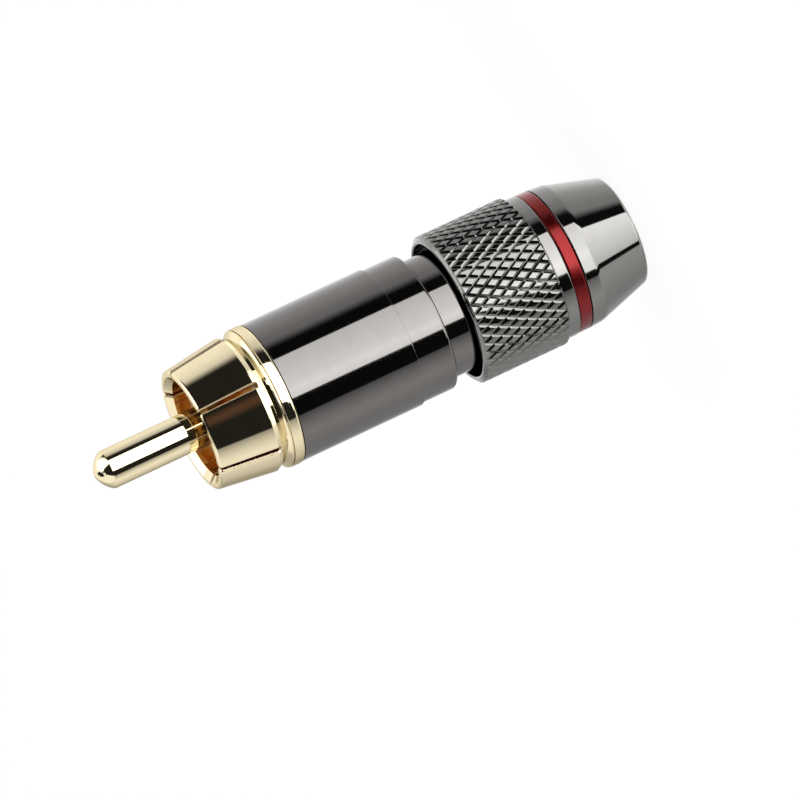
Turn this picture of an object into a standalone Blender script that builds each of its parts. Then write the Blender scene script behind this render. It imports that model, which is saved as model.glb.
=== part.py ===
# Phono plug with a six-petal ground shell, a screwed barrel and a knurled clamp nut.
# The plug stands on its tail: the origin is at the centre of the tail's end face and +Z runs
# along the axis towards the pin. Lengths are in metres.
# The most skilled feature is the diamond knurl of the clamp nut, cut by two crossing families
# of helical grooves.

import math

import bmesh
import bpy
from mathutils import Matrix

MM = 0.001

# Facets round a full turn, and points on a rounded edge
OUTER_FACETS = 48
INNER_FACETS = 32
ARC_POINTS = 4
TAB_FACETS = 6

# Fits
THREAD_PLAY = 0.06 * MM      # radial, of a thread or of a sleeve in its bore
FACE_GAP = 0.05 * MM         # between two faces that seat on each other
EDGE_BREAK = 0.08 * MM       # small chamfer on a turned edge

# Cable collet, which takes the cord
CORD_BORE_D = 6.68 * MM
COLLET_WALL = 0.5 * MM
COLLET_SLEEVE_LENGTH = 5.2 * MM
COLLET_HEAD_STEP = 0.1 * MM  # of the head over the taper
COLLET_HEAD_LENGTH = 0.7 * MM
COLLET_SETBACK = 0.6 * MM    # of the taper's thin end in the tail cap's cone
COLLET_SLOTS = 4
COLLET_SLOT_WIDTH = 0.8 * MM
COLLET_SLOT_REACH = 1.5 * MM  # how far the slots run into the sleeve

# Gland body
NECK_WALL = 1.15 * MM
NECK_LENGTH = 5.8 * MM
NECK_STEP = 0.70 * MM        # from the neck up to the band
BAND_LENGTH = 3.05 * MM
BAND_ROUND = 0.25 * MM
GLAND_SPIGOT_LENGTH = 3.0 * MM
NUT_STAND_OFF = 2.1 * MM     # from the nut's front to the band

# Barrel
BAND_STEP = 0.15 * MM        # from the band up to the barrel
BARREL_LENGTH = 10.65 * MM
BARREL_WALL = 0.95 * MM

# Clamp nut
COLLAR_PROUD = 0.15 * MM     # of the collar over the barrel
COLLAR_LENGTH = 1.15 * MM
KNURL_RISE = 0.3 * MM        # of the knurl over the collar
KNURL_DEPTH = 0.26 * MM
KNURL_AROUND = 46
KNURL_HALF_ROWS = 9
KNURL_HALF_PITCH = 0.81 * MM
KNURL_LAND = 0.5             # width of a diamond's flat top as a share of the diamond
KNURL_RUN_OUT = 0.2 * MM
RIM_CHAMFER = 0.3 * MM       # in front of the knurl
RIM_WALL = 0.34 * MM         # of the nut's rim below the grooves
NUT_MOUTH_DEPTH = 1.7 * MM

# Colour ring
RING_WIDTH = 1.1 * MM
RING_STEP = 0.06 * MM         # from the collar down to the ring
RING_ROUND = 0.18 * MM

# Tail cap
TAIL_STEP = 0.05 * MM         # from the collar down to the tail's band
TAIL_BAND_TAPER = 0.08 * MM
TAIL_BAND_LENGTH = 1.2 * MM
TAIL_CONE_LENGTH = 4.6 * MM
TAIL_END_WALL = 1.15 * MM
TAIL_END_ROUND = 0.4 * MM
CABLE_MOUTH_CHAMFER = 0.2 * MM
SPIGOT_LENGTH = 2.8 * MM     # in front of the ring, inside the nut
SQUEEZE_CONE_LENGTH = 2.7 * MM
SQUEEZE_CONE_WALL = 0.5 * MM

# Insulating liner
LINER_WALL = 0.4 * MM

# Pin
PIN_D = 3.2 * MM
PIN_REACH = 8.6 * MM         # past the rim of the shell
PIN_NOSE_LENGTH = 1.15 * MM
PIN_TIP_D = 1.9 * MM
PIN_TIP_ROUND = 0.5 * MM
PIN_COLLAR_STEP = 0.8 * MM
PIN_COLLAR_LENGTH = 0.9 * MM
STEM_STEP = 0.3 * MM         # from the pin down to its stem
STEM_WALL = 0.4 * MM         # of the solder cup
STEM_LENGTH = 5.4 * MM       # behind the rear insulator
CUP_HOLE_DEPTH = 3.2 * MM
CUP_OPEN_LENGTH = 2.4 * MM

# Insulators
INSULATION_GAP = 0.9 * MM    # from the pin's collar to the shell
FRONT_FLANGE_LENGTH = 1.05 * MM
REAR_INSULATOR_LENGTH = 0.9 * MM

# Ground shell, from its flange to its rim
FLANGE_PROUD = 0.05 * MM
FLANGE_LENGTH = 0.95 * MM
FLANGE_CROWN = 0.24 * MM
BEAD_LENGTH = 0.5 * MM
BEAD_SEAM_DEPTH = 0.22 * MM
GROOVE_WALL = 0.95 * MM      # thin spring section between the cup and the groove
GROOVE_DEPTH = 0.4 * MM
GROOVE_LENGTH = 0.75 * MM
PETAL_LENGTH = 4.85 * MM
RIM_WIDTH = 1.0 * MM
RIM_ROUND = 0.25 * MM
MOUTH_D = 8.2 * MM
LEAD_IN = 0.5 * MM
LIP_LENGTH = 1.2 * MM
LIP_HEIGHT = 0.3 * MM        # of the contact lip over the wall of the cup
LIP_SLOPE_LENGTH = 0.6 * MM
CUP_FLOOR_SETBACK = 0.55 * MM  # from the flange's rear face to the floor of the cup
SLIT_COUNT = 6
SLIT_FRONT_WIDTH = 0.26 * MM
SLIT_ROOT_WIDTH = 0.40 * MM
SLIT_ROOT_SETBACK = 0.30 * MM  # how far the slits run past the petals into the groove
BOSS_LENGTH = 3.95 * MM

# Ground lug
LUG_THICKNESS = 0.5 * MM
LUG_RING_CLEARANCE = 0.19 * MM  # from the ring to the liner
LUG_TAB_CLEARANCE = 0.55 * MM   # from the tab to the gland body's bore
LUG_HOLE_MARGIN = 0.55 * MM     # of the ring inside the tab
LUG_TAB_SPREAD = math.radians(56)
LUG_TAB_REACH = 1.5 * MM        # of the tab past the end of the pin's stem

# Stations along the axis, from the tail's end face
ring_low = TAIL_CONE_LENGTH + TAIL_BAND_LENGTH
collar_low = ring_low + RING_WIDTH + 2 * FACE_GAP
knurl_low = collar_low + COLLAR_LENGTH
knurl_high = knurl_low + KNURL_HALF_ROWS * KNURL_HALF_PITCH
nut_front = knurl_high + RIM_CHAMFER
band_low = nut_front + NUT_STAND_OFF
band_high = band_low + BAND_LENGTH
neck_low = band_low - NECK_LENGTH
barrel_low = band_high + FACE_GAP
barrel_high = barrel_low + BARREL_LENGTH
flange_low = barrel_high + FACE_GAP
flange_high = flange_low + FLANGE_LENGTH
bead_high = flange_high + BEAD_LENGTH
petal_low = bead_high + GROOVE_LENGTH
rim_high = petal_low + PETAL_LENGTH
boss_low = flange_low - BOSS_LENGTH
cup_floor = flange_low + CUP_FLOOR_SETBACK
rear_insulator_low = boss_low + FACE_GAP
pin_collar_low = rear_insulator_low + REAR_INSULATOR_LENGTH + FACE_GAP
hub_low = pin_collar_low + PIN_COLLAR_LENGTH + FACE_GAP
pin_tip = rim_high + PIN_REACH
stem_low = rear_insulator_low - STEM_LENGTH
lug_high = boss_low - FACE_GAP
spigot_high = ring_low + 2 * FACE_GAP + RING_WIDTH + SPIGOT_LENGTH
squeeze_low = spigot_high - SQUEEZE_CONE_LENGTH
gland_spigot_high = band_high + GLAND_SPIGOT_LENGTH

# Radii from the cord's bore outwards
collet_bore_r = CORD_BORE_D / 2
collet_sleeve_r = collet_bore_r + COLLET_WALL
gland_bore_r = collet_sleeve_r + THREAD_PLAY
neck_r = gland_bore_r + NECK_WALL
thread_bore_r = neck_r + THREAD_PLAY
band_r = neck_r + NECK_STEP
barrel_r = band_r + BAND_STEP
collar_r = barrel_r + COLLAR_PROUD
crest_r = collar_r + KNURL_RISE
root_r = crest_r - KNURL_DEPTH
ring_r = collar_r - RING_STEP
nut_mouth_r = root_r - RIM_WALL
tail_band_front_r = collar_r - TAIL_STEP
tail_band_r = tail_band_front_r - TAIL_BAND_TAPER
cable_bore_r = collet_bore_r + THREAD_PLAY
tail_end_r = cable_bore_r + TAIL_END_WALL
squeeze_top_r = neck_r - SQUEEZE_CONE_WALL

# Radii of the barrel's bore and what screws or slides into it
barrel_bore_r = barrel_r - BARREL_WALL
screw_r = barrel_bore_r - THREAD_PLAY
liner_bore_r = screw_r - LINER_WALL
lug_ring_r = liner_bore_r - LUG_RING_CLEARANCE
lug_tab_r = gland_bore_r - LUG_TAB_CLEARANCE
lug_hole_r = lug_tab_r - LUG_THICKNESS - LUG_HOLE_MARGIN

# Radii from the pin outwards
pin_r = PIN_D / 2
stem_r = pin_r - STEM_STEP
cup_hole_r = stem_r - STEM_WALL
pin_collar_r = pin_r + PIN_COLLAR_STEP
boss_bore_r = pin_collar_r + INSULATION_GAP
hub_r = boss_bore_r - THREAD_PLAY
mouth_r = MOUTH_D / 2
rim_r = mouth_r + RIM_WIDTH
cup_r = mouth_r + LIP_HEIGHT
groove_r = cup_r + GROOVE_WALL
petal_base_r = groove_r + GROOVE_DEPTH
bead_r = barrel_r
flange_r = barrel_r + FLANGE_PROUD


def material(name, colour, roughness, metallic):
    """One plain finish."""
    finish = bpy.data.materials.new(name)
    finish.use_nodes = True
    shader = finish.node_tree.nodes["Principled BSDF"]
    shader.inputs["Base Color"].default_value = (*colour, 1.0)
    shader.inputs["Roughness"].default_value = roughness
    shader.inputs["Metallic"].default_value = metallic
    finish.diffuse_color = (*colour, 1.0)
    return finish


def finish_object(name, mesh, look):
    """Close a bmesh, turn its faces outwards and put it in the scene."""
    bmesh.ops.remove_doubles(mesh, verts=mesh.verts, dist=1e-7)
    bmesh.ops.recalc_face_normals(mesh, faces=mesh.faces)
    data = bpy.data.meshes.new(name)
    mesh.to_mesh(data)
    mesh.free()
    data.shade_smooth()
    data.set_sharp_from_angle(angle=math.radians(28))
    data.materials.append(look)
    thing = bpy.data.objects.new(name, data)
    bpy.context.collection.objects.link(thing)
    return thing


def arc(centre_r, centre_z, radius, start_deg, end_deg, points=ARC_POINTS):
    """Points of (radius, height) along an arc, with 0 degrees outwards and 90 towards the pin."""
    angles = [math.radians(start_deg + (end_deg - start_deg) * i / (points - 1)) for i in range(points)]
    return [(centre_r + radius * math.cos(a), centre_z + radius * math.sin(a)) for a in angles]


def turned(name, outline, look, facets=OUTER_FACETS):
    """Spin an outline of (radius, height) points about Z. It is closed unless it ends on the axis."""
    mesh = bmesh.new()
    corners = [mesh.verts.new((radius, 0, height)) for radius, height in outline]
    edges = [mesh.edges.new(pair) for pair in zip(corners, corners[1:])]
    if outline[0][0] > 0:
        edges.append(mesh.edges.new((corners[-1], corners[0])))
    bmesh.ops.spin(mesh, geom=corners + edges, cent=(0, 0, 0), axis=(0, 0, 1),
                   angle=2 * math.pi, steps=facets, use_merge=True)
    return finish_object(name, mesh, look)


def prism(name, outline, depth, look):
    """Extrude an outline of (x, z) points along Y, centred on the axis."""
    mesh = bmesh.new()
    face = mesh.faces.new([mesh.verts.new((x, -depth / 2, z)) for x, z in outline])
    side = bmesh.ops.extrude_face_region(mesh, geom=[face])
    moved = [item for item in side["geom"] if isinstance(item, bmesh.types.BMVert)]
    bmesh.ops.translate(mesh, verts=moved, vec=(0, depth, 0))
    return finish_object(name, mesh, look)


def apply_boolean(target, other, operation):
    """Cut or join with a guide object that stays out of the finished part."""
    step = target.modifiers.new(other.name, "BOOLEAN")
    step.operation = operation
    step.object = other
    step.solver = "EXACT"
    other.hide_render = True
    other.display_type = "WIRE"


gold = material("gold_plate", (0.83, 0.66, 0.36), 0.08, 1.0)
black_metal = material("black_plate", (0.20, 0.19, 0.18), 0.08, 1.0)
knurl_metal = material("black_plate_knurl", (0.24, 0.235, 0.225), 0.18, 1.0)
red_gloss = material("red_gloss", (0.55, 0.015, 0.02), 0.15, 0.0)
insulator_plastic = material("insulator_plastic", (0.85, 0.84, 0.80), 0.45, 0.0)
liner_plastic = material("liner_plastic", (0.05, 0.05, 0.05), 0.5, 0.0)
collet_plastic = material("collet_plastic", (0.72, 0.69, 0.60), 0.4, 0.0)


def make_tail_cap():
    """Cone and band behind the ring, with a spigot that screws into the nut."""
    cone_deg = math.degrees(math.atan2(tail_band_r - tail_end_r, TAIL_CONE_LENGTH))
    outline = [(cable_bore_r + CABLE_MOUTH_CHAMFER, 0)]
    outline += arc(tail_end_r - TAIL_END_ROUND, TAIL_END_ROUND, TAIL_END_ROUND, -90, -cone_deg)
    outline += [
        (tail_band_r, TAIL_CONE_LENGTH),
        (tail_band_front_r, ring_low - EDGE_BREAK),
        (tail_band_front_r - EDGE_BREAK, ring_low),
        (neck_r, ring_low),
        (neck_r, spigot_high),
        (squeeze_top_r, spigot_high),
        (cable_bore_r, squeeze_low),
        (cable_bore_r, CABLE_MOUTH_CHAMFER),
    ]
    return turned("tail_cap", outline, black_metal)


def make_colour_ring():
    """Ring between the tail cap and the nut, round the tail cap's spigot."""
    low = ring_low + FACE_GAP
    high = low + RING_WIDTH
    corner_r = ring_r - RING_ROUND
    outline = [(thread_bore_r, low)]
    outline += arc(corner_r, low + RING_ROUND, RING_ROUND, -90, 0, ARC_POINTS - 1)
    outline += arc(corner_r, high - RING_ROUND, RING_ROUND, 0, 90, ARC_POINTS - 1)
    outline += [(thread_bore_r, high)]
    return turned("colour_ring", outline, red_gloss)


def make_clamp_nut():
    """Nut with a diamond knurl. The grooves meet at crossings, and each diamond between four
    crossings has a flat land. The half diamonds at both ends run out on a chamfer."""
    mesh = bmesh.new()
    pitch = 2 * math.pi / KNURL_AROUND

    def point(radius, steps, height):
        angle = steps * pitch
        return mesh.verts.new((radius * math.cos(angle), radius * math.sin(angle), height))

    def ring(radius, height):
        return [point(radius, k, height) for k in range(KNURL_AROUND)]

    def skin(low, high):
        for k in range(KNURL_AROUND):
            after = (k + 1) % KNURL_AROUND
            mesh.faces.new((low[k], low[after], high[after], high[k]))

    rows = range(KNURL_HALF_ROWS + 1)
    heights = [knurl_low + row * KNURL_HALF_PITCH for row in rows]
    crossings = [[point(root_r, k + row % 2 / 2, heights[row]) for k in range(KNURL_AROUND)] for row in rows]
    end_lands = {0: [], KNURL_HALF_ROWS: []}
    for row in rows:
        shift = row % 2 / 2
        for k in range(KNURL_AROUND):
            middle = k + shift + 0.5
            beside = (k + row % 2) % KNURL_AROUND
            left, right = crossings[row][k], crossings[row][(k + 1) % KNURL_AROUND]
            land_left = point(crest_r, middle - KNURL_LAND / 2, heights[row])
            land_right = point(crest_r, middle + KNURL_LAND / 2, heights[row])
            if row in end_lands:
                end_lands[row].append((land_left, land_right))
            for towards in (-1, 1):
                if row + towards not in rows:
                    continue
                tip = crossings[row + towards][beside]
                land_tip = point(crest_r, middle, heights[row] + towards * KNURL_LAND * KNURL_HALF_PITCH)
                mesh.faces.new((land_left, land_right, land_tip))
                mesh.faces.new((left, land_left, land_tip, tip))
                mesh.faces.new((right, land_right, land_tip, tip))

    def run_out(row, edge):
        """Close the ends of the grooves onto a plain ring."""
        for k in range(KNURL_AROUND):
            after = (k + 1) % KNURL_AROUND
            land_left, land_right = end_lands[row][k]
            mesh.faces.new((crossings[row][k], land_left, edge[k]))
            mesh.faces.new((land_left, land_right, edge[after], edge[k]))
            mesh.faces.new((land_right, crossings[row][after], edge[after]))

    def turned_ring(radius, height, row):
        return [point(radius, k + row % 2 / 2, height) for k in range(KNURL_AROUND)]

    collar_top = ring(collar_r, knurl_low - KNURL_RUN_OUT)
    collar_bottom = ring(collar_r, collar_low + EDGE_BREAK)
    collar_edge = ring(collar_r - EDGE_BREAK, collar_low)
    bore_bottom = ring(thread_bore_r, collar_low)
    run_out(0, collar_top)
    skin(collar_bottom, collar_top)
    skin(collar_edge, collar_bottom)
    skin(bore_bottom, collar_edge)

    last = KNURL_HALF_ROWS
    front_edge = turned_ring(root_r - RIM_CHAMFER / 2, nut_front, last)
    mouth_edge = turned_ring(nut_mouth_r + EDGE_BREAK, nut_front, last)
    mouth_top = turned_ring(nut_mouth_r, nut_front - EDGE_BREAK, last)
    mouth_floor = turned_ring(nut_mouth_r, nut_front - NUT_MOUTH_DEPTH, last)
    bore_top = turned_ring(thread_bore_r, nut_front - NUT_MOUTH_DEPTH, last)
    run_out(last, front_edge)
    skin(mouth_edge, front_edge)
    skin(mouth_top, mouth_edge)
    skin(mouth_floor, mouth_top)
    skin(bore_top, mouth_floor)
    join_bore(mesh, bore_bottom, bore_top)
    return finish_object("clamp_nut", mesh, knurl_metal)


def join_bore(mesh, low, high):
    """Bridge two rings that are half a step apart with triangles."""
    count = len(low)
    for k in range(count):
        after = (k + 1) % count
        mesh.faces.new((low[k], low[after], high[k]))
        mesh.faces.new((low[after], high[after], high[k]))


def make_gland_body():
    """Band behind the barrel, the neck that the nut screws onto and the barrel's screw spigot."""
    outline = [(gland_bore_r, neck_low), (neck_r - EDGE_BREAK, neck_low), (neck_r, neck_low + EDGE_BREAK)]
    outline += [(neck_r, band_low)]
    outline += arc(band_r - BAND_ROUND, band_low + BAND_ROUND, BAND_ROUND, -90, 0)
    outline += [(band_r, band_high - EDGE_BREAK), (band_r - EDGE_BREAK, band_high)]
    outline += [(screw_r, band_high), (screw_r, gland_spigot_high), (gland_bore_r, gland_spigot_high)]
    return turned("gland_body", outline, black_metal)


def make_barrel():
    """Tube threaded at both ends."""
    outline = [
        (barrel_bore_r, barrel_low),
        (barrel_r - EDGE_BREAK, barrel_low),
        (barrel_r, barrel_low + EDGE_BREAK),
        (barrel_r, barrel_high - EDGE_BREAK),
        (barrel_r - EDGE_BREAK, barrel_high),
        (barrel_bore_r, barrel_high),
    ]
    return turned("barrel", outline, black_metal)


def make_insulating_liner():
    """Sleeve between the gland body's spigot and the shell's boss."""
    low = gland_spigot_high + FACE_GAP
    high = boss_low - FACE_GAP
    outline = [(liner_bore_r, low), (screw_r, low), (screw_r, high), (liner_bore_r, high)]
    return turned("insulating_liner", outline, liner_plastic)


def make_cable_collet():
    """Sleeve in the neck with a slotted taper in the tail cap's cone."""
    taper = (squeeze_top_r - cable_bore_r) / SQUEEZE_CONE_LENGTH
    play = 2 * FACE_GAP
    taper_low = squeeze_low + COLLET_SETBACK
    taper_low_r = cable_bore_r + taper * COLLET_SETBACK - play
    head_r = squeeze_top_r + COLLET_HEAD_STEP
    head_high = spigot_high + COLLET_HEAD_LENGTH
    sleeve_high = head_high + COLLET_SLEEVE_LENGTH
    outline = [
        (collet_bore_r, taper_low),
        (taper_low_r, taper_low),
        (squeeze_top_r - play, spigot_high),
        (head_r, spigot_high + FACE_GAP),
        (head_r, head_high),
        (collet_sleeve_r, head_high),
        (collet_sleeve_r, sleeve_high),
        (collet_bore_r, sleeve_high),
    ]
    collet = turned("cable_collet", outline, collet_plastic)
    half = COLLET_SLOT_WIDTH / 2
    slot_low = taper_low - COLLET_SLOT_WIDTH
    slot_high = head_high + COLLET_SLOT_REACH
    outline = [(-half, slot_low), (half, slot_low), (half, slot_high), (-half, slot_high)]
    pairs = COLLET_SLOTS // 2
    for index in range(pairs):
        slot = prism(f"collet_slot_guide_{index}", outline, 4 * head_r, collet_plastic)
        slot.rotation_euler.z = math.pi * (index + 0.25) / pairs
        apply_boolean(collet, slot, "DIFFERENCE")
    return collet


def make_ground_shell():
    """Six spring petals on a bead and flange, with a threaded boss behind."""
    lip_low = rim_high - LEAD_IN - LIP_LENGTH
    crown_low = flange_low + FLANGE_CROWN
    crown_high = flange_high - FLANGE_CROWN
    crown_r = flange_r - FLANGE_CROWN
    outline = [
        (boss_bore_r, boss_low),
        (screw_r - EDGE_BREAK, boss_low),
        (screw_r, boss_low + EDGE_BREAK),
        (screw_r, flange_low),
        (crown_r, flange_low),
    ]
    outline += arc(crown_r, crown_low, FLANGE_CROWN, -60, 0, ARC_POINTS - 1)
    outline += arc(crown_r, crown_high, FLANGE_CROWN, 0, 60, ARC_POINTS - 1)
    outline += [
        (bead_r - BEAD_SEAM_DEPTH, flange_high),
        (bead_r, flange_high + BEAD_LENGTH * 0.2),
        (bead_r, flange_high + BEAD_LENGTH * 0.45),
        (groove_r, bead_high),
        (petal_base_r - GROOVE_DEPTH * 0.1, petal_low - GROOVE_LENGTH * 0.2),
        (petal_base_r, petal_low),
    ]
    outline += arc(rim_r - RIM_ROUND, rim_high - RIM_ROUND, RIM_ROUND, 0, 90)
    outline += [
        (mouth_r + LEAD_IN, rim_high),
        (mouth_r, rim_high - LEAD_IN),
        (mouth_r, lip_low),
        (cup_r, lip_low - LIP_SLOPE_LENGTH),
        (cup_r, cup_floor),
        (boss_bore_r, cup_floor),
    ]
    shell = turned("ground_shell", outline, gold)

    root_z = petal_low - SLIT_ROOT_SETBACK
    root_half = SLIT_ROOT_WIDTH / 2
    front_half = SLIT_FRONT_WIDTH / 2
    past_rim = rim_high + LEAD_IN
    outline = arc(0, root_z + root_half, root_half, 180, 360)
    outline += [(front_half, rim_high), (front_half, past_rim), (-front_half, past_rim), (-front_half, rim_high)]
    slit_depth = petal_base_r
    slit_middle = (cup_r + slit_depth) / 2
    for index in range(SLIT_COUNT):
        slit = prism(f"slit_guide_{index}", outline, slit_depth, gold)
        turn = 2 * math.pi * index / SLIT_COUNT
        slit.rotation_euler.z = turn - math.pi / 2
        slit.location = (slit_middle * math.cos(turn), slit_middle * math.sin(turn), 0)
        apply_boolean(shell, slit, "DIFFERENCE")
    return shell


def make_front_insulator():
    """Flanged bush in the shell's cup, with the pin through it."""
    bore_r = pin_r + THREAD_PLAY
    outer_r = cup_r - THREAD_PLAY
    low = cup_floor + FACE_GAP
    high = low + FRONT_FLANGE_LENGTH
    outline = [
        (bore_r, hub_low),
        (hub_r, hub_low),
        (hub_r, low),
        (outer_r, low),
        (outer_r, high - EDGE_BREAK),
        (outer_r - EDGE_BREAK, high),
        (bore_r, high),
    ]
    return turned("front_insulator", outline, insulator_plastic, INNER_FACETS)


def make_rear_insulator():
    """Washer that closes the boss behind the pin's collar."""
    bore_r = stem_r + THREAD_PLAY
    low = rear_insulator_low
    high = low + REAR_INSULATOR_LENGTH
    outline = [(bore_r, low), (hub_r, low), (hub_r, high), (bore_r, high)]
    return turned("rear_insulator", outline, insulator_plastic, INNER_FACETS)


def make_center_pin():
    """Pin with a blunt cone nose, a collar between the insulators and an open solder cup."""
    collar_high = pin_collar_low + PIN_COLLAR_LENGTH
    hole_high = stem_low + CUP_HOLE_DEPTH
    tip_r = PIN_TIP_D / 2
    outline = [(0, pin_tip)]
    outline += arc(tip_r - PIN_TIP_ROUND, pin_tip - PIN_TIP_ROUND, PIN_TIP_ROUND, 90, 35)
    outline += [
        (pin_r, pin_tip - PIN_NOSE_LENGTH),
        (pin_r, collar_high),
        (pin_collar_r, collar_high),
        (pin_collar_r, pin_collar_low),
        (stem_r, pin_collar_low),
        (stem_r, stem_low),
        (cup_hole_r, stem_low),
        (cup_hole_r, hole_high),
        (0, hole_high + cup_hole_r / 2),
    ]
    pin = turned("center_pin", outline, gold, INNER_FACETS)
    reach = 2 * stem_r
    low = stem_low - reach
    high = stem_low + CUP_OPEN_LENGTH
    outline = [(-reach, low), (reach, low), (reach, high), (-reach, high)]
    opening = prism("cup_opening_guide", outline, reach, gold)
    opening.location.y = stem_r + EDGE_BREAK
    apply_boolean(pin, opening, "DIFFERENCE")
    return pin


def make_ground_lug():
    """Ring on the boss with a tab, curved like a trough, that a screen is soldered into."""
    low = lug_high - LUG_THICKNESS
    outline = [(lug_hole_r, low), (lug_ring_r, low), (lug_ring_r, lug_high), (lug_hole_r, lug_high)]
    lug = turned("ground_lug", outline, gold, INNER_FACETS)
    tab_high = low + LUG_THICKNESS / 2
    tab_low = stem_low - LUG_TAB_REACH
    tab_inner_r = lug_tab_r - LUG_THICKNESS
    corners = [(tab_inner_r, tab_low), (lug_tab_r, tab_low), (lug_tab_r, tab_high), (tab_inner_r, tab_high)]
    mesh = bmesh.new()
    face = mesh.faces.new([mesh.verts.new((radius, 0, height)) for radius, height in corners])
    bmesh.ops.rotate(mesh, verts=mesh.verts, cent=(0, 0, 0),
                     matrix=Matrix.Rotation(-LUG_TAB_SPREAD / 2, 3, "Z"))
    bmesh.ops.spin(mesh, geom=[face, *face.verts, *face.edges], cent=(0, 0, 0), axis=(0, 0, 1),
                   angle=LUG_TAB_SPREAD, steps=TAB_FACETS)
    tab = finish_object("lug_tab_guide", mesh, gold)
    tab.rotation_euler.z = -math.pi / 2
    apply_boolean(lug, tab, "UNION")
    return lug


for item in list(bpy.data.objects):
    bpy.data.objects.remove(item, do_unlink=True)

make_center_pin()
make_front_insulator()
make_rear_insulator()
make_ground_shell()
make_ground_lug()
make_insulating_liner()
make_barrel()
make_gland_body()
make_cable_collet()
make_clamp_nut()
make_colour_ring()
make_tail_cap()
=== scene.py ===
import math
import time

import bmesh
import bpy
from mathutils import Matrix, Vector


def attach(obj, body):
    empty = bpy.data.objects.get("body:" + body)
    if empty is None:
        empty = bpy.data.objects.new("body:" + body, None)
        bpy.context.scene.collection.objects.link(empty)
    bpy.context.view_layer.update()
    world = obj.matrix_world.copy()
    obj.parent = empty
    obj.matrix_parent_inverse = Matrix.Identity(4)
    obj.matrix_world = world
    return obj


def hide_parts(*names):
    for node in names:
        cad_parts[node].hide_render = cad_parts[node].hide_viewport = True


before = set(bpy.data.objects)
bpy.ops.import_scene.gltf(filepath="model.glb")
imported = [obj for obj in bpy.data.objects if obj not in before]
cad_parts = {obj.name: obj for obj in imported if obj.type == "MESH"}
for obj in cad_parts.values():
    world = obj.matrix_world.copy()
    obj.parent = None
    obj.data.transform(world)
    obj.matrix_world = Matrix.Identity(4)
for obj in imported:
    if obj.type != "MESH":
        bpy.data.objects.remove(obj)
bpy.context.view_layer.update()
startTime = time.time()
mm = 0.001


def report(stage):
    print(f"{time.time() - startTime:5.1f} s  {stage}")


# shader expressions

class Term:
    # wraps an output socket, so that Python arithmetic adds the nodes it needs
    def __init__(self, board, socket):
        self.board, self.socket = board, socket

    def __add__(self, other):
        return self.board.combine("ADD", self, other)

    def __radd__(self, other):
        return self.board.combine("ADD", other, self)

    def __sub__(self, other):
        return self.board.combine("SUBTRACT", self, other)

    def __rsub__(self, other):
        return self.board.combine("SUBTRACT", other, self)

    def __mul__(self, other):
        return self.board.combine("MULTIPLY", self, other)

    def __rmul__(self, other):
        return self.board.combine("MULTIPLY", other, self)

    def __truediv__(self, other):
        return self.board.combine("DIVIDE", self, other)

    def __rtruediv__(self, other):
        return self.board.combine("DIVIDE", other, self)


class Board:
    # one node tree; add() makes any node from its type, its settings and its sockets
    def __init__(self, tree):
        self.tree = tree
        tree.nodes.clear()

    def add(self, kind, settings=None, sockets=None, out=0):
        node = self.tree.nodes.new(kind)
        for name, value in (settings or {}).items():
            if name == "stops":
                ramp = node.color_ramp.elements
                while len(ramp) < len(value):
                    ramp.new(1.0)
                for element, (place, shade) in zip(ramp, value):
                    element.position = place
                    element.color = (*shade, 1.0)
            else:
                setattr(node, name, value)
        for name, value in (sockets or {}).items():
            socket = node.inputs[name]
            if isinstance(value, Term):
                self.tree.links.new(value.socket, socket)
            elif socket.type == "RGBA" and len(value) == 3:
                socket.default_value = (*value, 1.0)
            else:
                socket.default_value = value
        return Term(self, node.outputs[out]) if node.outputs else None

    def combine(self, operation, first, second):
        kinds = {item.socket.type for item in (first, second) if isinstance(item, Term)}
        if "RGBA" in kinds:
            settings = {"data_type": "RGBA", "blend_type": operation}
            return self.add("ShaderNodeMix", settings, {0: 1.0, 6: first, 7: second}, out=2)
        if "VECTOR" in kinds:
            return self.add("ShaderNodeVectorMath", {"operation": operation}, {0: first, 1: second})
        return self.add("ShaderNodeMath", {"operation": operation}, {0: first, 1: second})

    def math(self, operation, first, second=0.0):
        return self.add("ShaderNodeMath", {"operation": operation}, {0: first, 1: second})

    def blend(self, factor, first, second):
        return self.add("ShaderNodeMix", {"data_type": "RGBA"}, {0: factor, 6: first, 7: second}, out=2)

    def edge(self, value, place, blur):
        # from 0 to 1 across a place, or from 1 to 0 where the blur is negative
        return self.ease(value, place - blur, place + blur)

    def ease(self, value, low, high, lowOut=0.0, highOut=1.0):
        settings = {"interpolation_type": "SMOOTHSTEP"}
        return self.add("ShaderNodeMapRange", settings, {0: value, 1: low, 2: high, 3: lowOut, 4: highOut})

    def noise(self, vector, scale, detail=2.0, roughness=0.5):
        return self.add("ShaderNodeTexNoise", None,
                        {"Vector": vector, "Scale": scale, "Detail": detail, "Roughness": roughness})

    def bump(self, height):
        # the height is in metres
        return self.add("ShaderNodeBump", None, {"Strength": 1.0, "Distance": 1.0, "Height": height})


# finishes

def newFinish(name):
    finish = bpy.data.materials.new(name)
    finish.use_nodes = True
    board = Board(finish.node_tree)
    place = board.add("ShaderNodeTexCoord", out=3)
    return finish, board, place


def closeFinish(board, sockets):
    shader = board.add("ShaderNodeBsdfPrincipled", None, sockets)
    board.add("ShaderNodeOutputMaterial", None, {"Surface": shader})


def axisRadius(board, place):
    # distance from the plug's axis in mm
    flat = place * (1 / mm, 1 / mm, 0.0)
    return board.add("ShaderNodeVectorMath", {"operation": "LENGTH"}, {0: flat}, out=1)


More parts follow.
